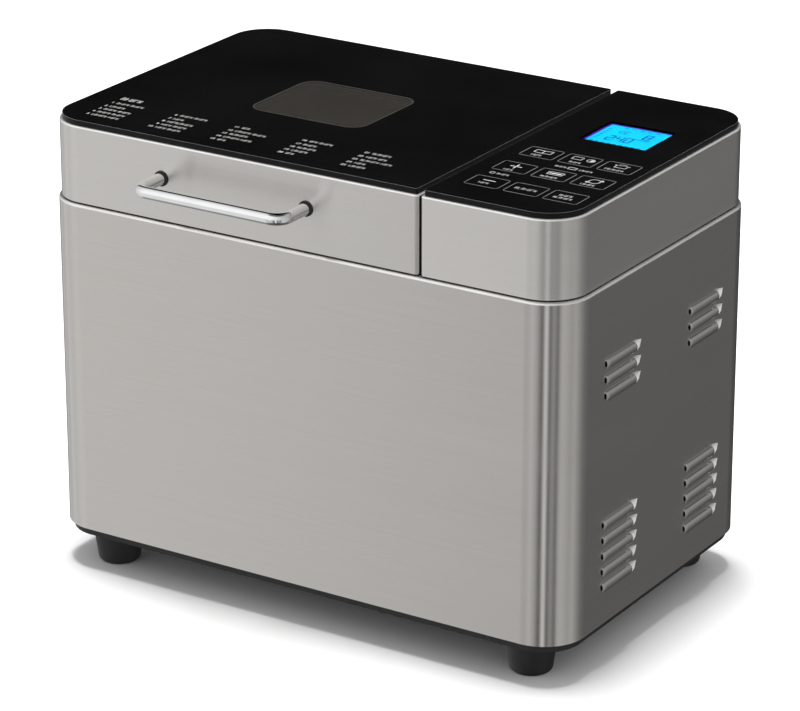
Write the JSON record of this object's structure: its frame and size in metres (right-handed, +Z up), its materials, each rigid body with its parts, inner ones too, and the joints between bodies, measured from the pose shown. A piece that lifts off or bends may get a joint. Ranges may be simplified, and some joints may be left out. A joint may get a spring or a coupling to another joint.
{
  "type": "bread machine",
  "caption": "Steel countertop bread machine with a hinged lid, viewing window, front bar handle, touch panel, lift-out pan and belt-driven kneading paddle.",
  "frame": {"origin": "middle of the overall footprint, on the surface that the feet stand on", "axes": "+Z up, front and lid handle towards -Y, +X to the right seen from the front"},
  "size_m": [0.3626, 0.2616, 0.287],
  "materials": {
    "brushed_steel": "brushed along its length, satin",
    "black_glass": "glossy black printed toughened glass with a clear window",
    "clear_glass": "clear toughened glass",
    "chrome": "polished",
    "black_plastic": "moulded, matt",
    "foot_plastic": "moulded, matt",
    "grey_plastic": "moulded, fine texture",
    "zinc_steel": "zinc plated",
    "oven_steel": "plain sheet",
    "pan_coating": "non-stick coating, satin",
    "cast_aluminium": "as cast",
    "brass": "turned",
    "ceramic": "glazed",
    "silicone": "soft, matt",
    "belt_rubber": "ribbed, matt",
    "element_steel": "heat darkened tube",
    "circuit_board": "solder mask",
    "board_parts": "moulded",
    "display": "backlit",
    "motor_paint": "painted"
  },
  "bodies": {
    "base": {"base_tray": "black_plastic", "foot_front_left": "foot_plastic", "foot_front_right": "foot_plastic", "foot_rear_left": "foot_plastic", "foot_rear_right": "foot_plastic", "foot_screws": "zinc_steel", "housing_shell": "brushed_steel", "rear_panel": "grey_plastic", "rear_panel_screws": "zinc_steel", "cord_gland": "black_plastic", "top_deck": "grey_plastic", "oven_chamber": "oven_steel", "oven_standoffs": "ceramic", "heating_element": "element_steel", "element_insulators": "ceramic", "thermal_fuse": "ceramic", "sensor_housing": "zinc_steel", "sensor_spring": "zinc_steel", "pan_seat": "cast_aluminium", "pan_clips": "zinc_steel", "bearing_housing": "cast_aluminium", "drive_bush": "brass", "drive_belt": "belt_rubber", "motor_housing": "motor_paint", "motor_bracket": "zinc_steel", "motor_screws": "zinc_steel", "power_board": "circuit_board", "power_components": "board_parts", "panel_shell": "brushed_steel", "panel_glass": "black_glass", "panel_carrier": "black_plastic", "lcd_display": "display", "touch_board": "circuit_board", "control_board": "circuit_board", "hinge_bracket_left": "zinc_steel", "hinge_bracket_right": "zinc_steel", "hinge_pins": "zinc_steel"},
    "lid": {"lid_shell": "brushed_steel", "lid_glass": "black_glass", "lid_liner": "oven_steel", "window_pane": "clear_glass", "lid_gasket": "silicone", "lid_handle": "chrome", "handle_collars": "black_plastic", "handle_screws": "zinc_steel", "lid_hinge_leaf_left": "zinc_steel", "lid_hinge_leaf_right": "zinc_steel"},
    "pan": {"bread_pan": "pan_coating", "pan_base": "cast_aluminium", "pan_bush": "brass"},
    "pan_handle": {"pan_handle": "chrome"},
    "pan_shaft": {"pan_shaft": "zinc_steel"},
    "paddle": {"kneading_paddle": "pan_coating"},
    "drive": {"drive_shaft": "zinc_steel", "drive_coupling": "cast_aluminium", "drive_pulley": "black_plastic"},
    "motor_rotor": {"motor_shaft": "zinc_steel", "motor_armature": "zinc_steel", "motor_pulley": "black_plastic"},
    "sensor": {"sensor_plunger": "zinc_steel"}
  },
  "joints": [
    {"name": "lid_hinge", "type": "hinge", "parent": "base", "child": "lid", "pos_m": [-0.04755, 0.12477, 0.238], "axis": [-1, 0, 0], "range_deg": [0, 78]},
    {"name": "pan_lift", "type": "slide", "parent": "base", "child": "pan", "axis": [0, 0, 1], "range_m": [0, 0.045]},
    {"name": "pan_handle_swing", "type": "hinge", "parent": "pan", "child": "pan_handle", "pos_m": [-0.04755, 0.01077, 0.194], "axis": [-1, 0, 0], "range_deg": [0, 180]},
    {"name": "motor_spin", "type": "hinge", "parent": "base", "child": "motor_rotor", "pos_m": [0.11732, 0.01077, 0.08], "axis": [0, 0, 1], "continuous": true},
    {"name": "drive_spin", "type": "hinge", "parent": "base", "child": "drive", "pos_m": [-0.04755, 0.01077, 0.05], "axis": [0, 0, 1], "continuous": true},
    {"name": "pan_shaft_spin", "type": "hinge", "parent": "pan", "child": "pan_shaft", "pos_m": [-0.04755, 0.01077, 0.09], "axis": [0, 0, 1], "continuous": true},
    {"name": "paddle_lift", "type": "slide", "parent": "pan_shaft", "child": "paddle", "axis": [0, 0, 1], "range_m": [0, 0.03]},
    {"name": "sensor_slide", "type": "slide", "parent": "base", "child": "sensor", "axis": [1, 0, 0], "range_m": [0, 0.003], "stiffness_N_per_m": 400, "deforming": ["sensor_spring"]}
  ],
  "couplings": [
    {"joint": "drive_spin", "follows": "motor_spin", "ratio": 0.18129},
    {"joint": "pan_shaft_spin", "follows": "motor_spin", "ratio": 0.18129}
  ]
}
